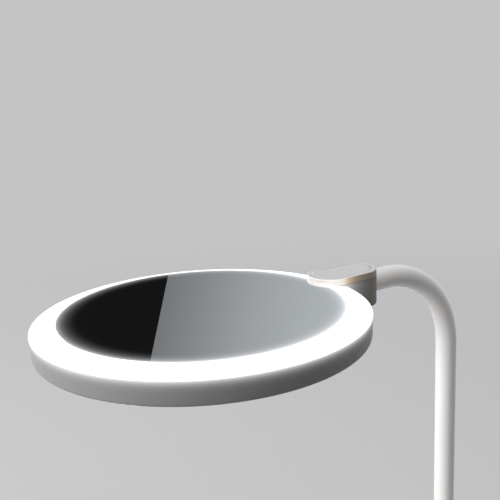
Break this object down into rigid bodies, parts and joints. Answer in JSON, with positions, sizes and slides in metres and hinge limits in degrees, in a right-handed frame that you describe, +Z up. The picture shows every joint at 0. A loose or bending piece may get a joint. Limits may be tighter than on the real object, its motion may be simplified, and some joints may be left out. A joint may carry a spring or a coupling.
{
  "type": "touch lamp",
  "caption": "Desk touch lamp: round mirror in a sloping light ring, flip-over head with a touch panel on its hinge block, bent tube arm that swings, round weighted base.",
  "frame": {"origin": "centre of the base's resting face, on the table", "axes": "+Z up, the head reaches towards -X, and +Y is the side with the power inlet"},
  "size_m": [0.3362, 0.2, 0.4019],
  "materials": {
    "shell": "satin white moulding",
    "collar": "turned and painted white",
    "arm": "satin white powder coat",
    "panel": "light grey, satin",
    "opal": "opal white, lit from below",
    "mirror": "silvered glass",
    "tray": "moulded",
    "film": "white film",
    "foam": "closed-cell foam",
    "seal": "rubber",
    "iron": "plain",
    "steel": "zinc plated",
    "screws": "zinc plated",
    "slider": "acetal",
    "board": "circuit board",
    "led_board": "white circuit board",
    "led": "light chips",
    "chips": "electronic parts",
    "lead": "black cable"
  },
  "bodies": {
    "base": {"base_pad": "foam", "base_plate": "steel", "base_weight": "iron", "base_shell": "shell", "base_screws": "screws", "post_socket": "collar", "post_screws": "screws", "swing_stop_screw": "screws", "swing_ring": "seal", "swing_washer": "slider", "driver_board": "board", "board_parts": "chips", "board_spacers": "slider", "board_screws": "screws", "usb_socket": "steel", "base_lead": "lead"},
    "arm": {"arm_tube": "arm", "foot_sleeve": "steel", "hinge_plug": "steel", "flip_stop_pin": "steel", "friction_washers": "slider", "disc_spring": "steel", "hinge_nut": "steel", "arm_cable": "lead"},
    "head": {"head_shell": "shell", "hinge_cap": "shell", "touch_panel": "panel", "touch_board": "board", "hinge_bush": "slider", "hinge_bracket": "steel", "bracket_screws": "screws", "cap_screws": "screws", "head_lead": "lead", "led_board": "led_board", "led_chips": "led", "led_screws": "screws", "reflectors": "film", "mirror_tray": "tray", "tray_screws": "screws", "mirror_tape": "foam", "mirror": "mirror", "light_ring": "opal"}
  },
  "joints": [
    {"name": "arm_swing", "type": "hinge", "parent": "base", "child": "arm", "pos_m": [0.062, 0, 0.017], "axis": [0, 0, 1], "range_deg": [-45, 45]},
    {"name": "head_flip", "type": "hinge", "parent": "arm", "child": "head", "pos_m": [-0.0262, 0, 0.39], "axis": [1, 0, 0], "range_deg": [-90, 180]}
  ]
}
